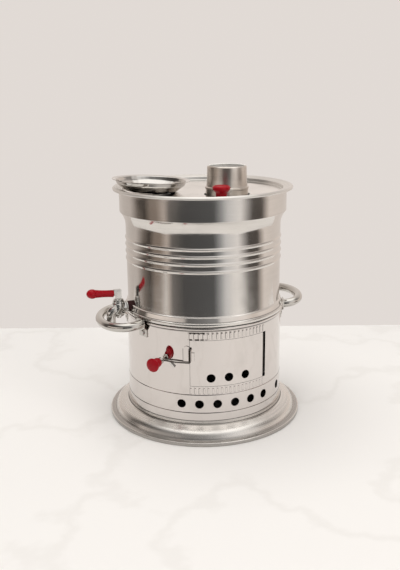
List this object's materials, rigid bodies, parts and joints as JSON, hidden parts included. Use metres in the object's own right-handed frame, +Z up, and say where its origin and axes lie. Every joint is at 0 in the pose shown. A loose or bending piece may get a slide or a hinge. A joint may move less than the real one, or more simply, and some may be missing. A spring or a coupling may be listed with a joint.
{
  "type": "samovar",
  "caption": "Stainless charcoal samovar: firebox with hinged door and latch, water tank with flue and plug tap, lift-off lid, loose dish, bow handles.",
  "frame": {"origin": "centre of the foot's underside, on the body's axis", "axes": "+Z up; the door faces -Y; the tap and the left handle are on -X, the right handle on +X"},
  "size_m": [0.3207, 0.2772, 0.358],
  "materials": {
    "brushed_steel": "fine brushed",
    "bright_steel": "polished, slightly wavy",
    "grate_steel": "dull, heat darkened",
    "chrome": "mirror",
    "brass": "turned",
    "red_plastic": "gloss",
    "gasket_rubber": "matt"
  },
  "bodies": {
    "stove": {"foot": "brushed_steel", "ash_pan": "brushed_steel", "firebox_shell": "bright_steel", "fire_grate": "grate_steel", "grate_brackets": "brushed_steel", "hinge_pin": "brushed_steel", "hinge_lugs": "brushed_steel", "latch_tongue": "bright_steel", "tank_shell": "brushed_steel", "tank_bottom": "brushed_steel", "flue_tube": "brushed_steel", "chimney_stub": "bright_steel", "handle_left": "bright_steel", "handle_right": "bright_steel", "handle_brackets": "bright_steel", "handle_rivets": "bright_steel", "tap_body": "chrome", "tap_gasket": "gasket_rubber", "tap_washer": "brushed_steel", "tap_lock_nut": "brass"},
    "fire_door": {"door": "bright_steel", "latch_clip": "bright_steel"},
    "latch": {"latch_wire": "bright_steel", "latch_ferrule": "chrome", "latch_knob": "red_plastic"},
    "tap_key": {"tap_plug": "chrome", "tap_grip": "red_plastic", "plug_washer": "chrome", "plug_screw": "chrome"},
    "cover": {"lid": "brushed_steel", "lid_knob": "red_plastic", "lid_knob_screw": "brushed_steel"},
    "dish": {"teapot_dish": "bright_steel"}
  },
  "joints": [
    {"name": "door_hinge", "type": "hinge", "parent": "stove", "child": "fire_door", "pos_m": [0.04657, -0.09678, 0.1052], "axis": [0, 0, 1], "range_deg": [0, 95]},
    {"name": "latch_swing", "type": "hinge", "parent": "fire_door", "child": "latch", "pos_m": [-0.05849, -0.09657, 0.115], "axis": [0, 0, 1], "range_deg": [0, 90]},
    {"name": "tap_turn", "type": "hinge", "parent": "stove", "child": "tap_key", "pos_m": [-0.126, 0, 0.1642], "axis": [0, 0, 1], "range_deg": [0, 90]},
    {"name": "lid_lift", "type": "slide", "parent": "stove", "child": "cover", "axis": [0, 0, 1], "range_m": [0, 0.15]},
    {"name": "dish_lift", "type": "slide", "parent": "cover", "child": "dish", "axis": [0, 0, 1], "range_m": [0, 0.12]}
  ]
}
